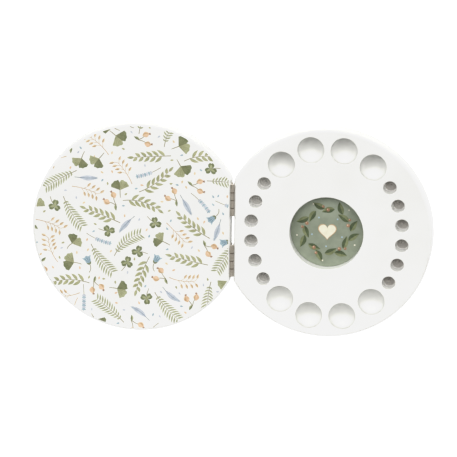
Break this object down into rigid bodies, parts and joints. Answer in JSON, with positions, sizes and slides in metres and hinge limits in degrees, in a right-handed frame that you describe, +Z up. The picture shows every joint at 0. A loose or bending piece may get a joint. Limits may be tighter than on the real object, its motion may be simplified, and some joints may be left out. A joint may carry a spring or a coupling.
{
  "type": "hinged tooth keepsake box",
  "caption": "Round painted wooden box for milk teeth, lying open: a base drilled with wells, bowls and a middle recess, hinged along a straight edge to a plain lid.",
  "frame": {"origin": "on the table, under the hinge line, midway between the two hinges", "axes": "+X from the lid across the hinge to the base, +Y along the hinge pins, +Z up"},
  "size_m": [0.2268, 0.12, 0.0133],
  "materials": {
    "painted_wood": "satin white paint",
    "printed_card": "matte print",
    "hinge_metal": "dull plated",
    "screw_metal": "dull plated"
  },
  "bodies": {
    "base": {"base_body": "painted_wood", "recess_liner": "printed_card", "upper_hinge_base_leaf": "hinge_metal", "upper_hinge_pin": "hinge_metal", "upper_hinge_base_screws": "screw_metal", "lower_hinge_base_leaf": "hinge_metal", "lower_hinge_pin": "hinge_metal", "lower_hinge_base_screws": "screw_metal"},
    "lid": {"lid_body": "painted_wood", "upper_hinge_lid_leaf": "hinge_metal", "upper_hinge_lid_screws": "screw_metal", "lower_hinge_lid_leaf": "hinge_metal", "lower_hinge_lid_screws": "screw_metal"}
  },
  "joints": [
    {"name": "lid_hinge", "type": "hinge", "parent": "base", "child": "lid", "pos_m": [0, 0, 0.01215], "axis": [0, 1, 0], "range_deg": [0, 180]}
  ]
}
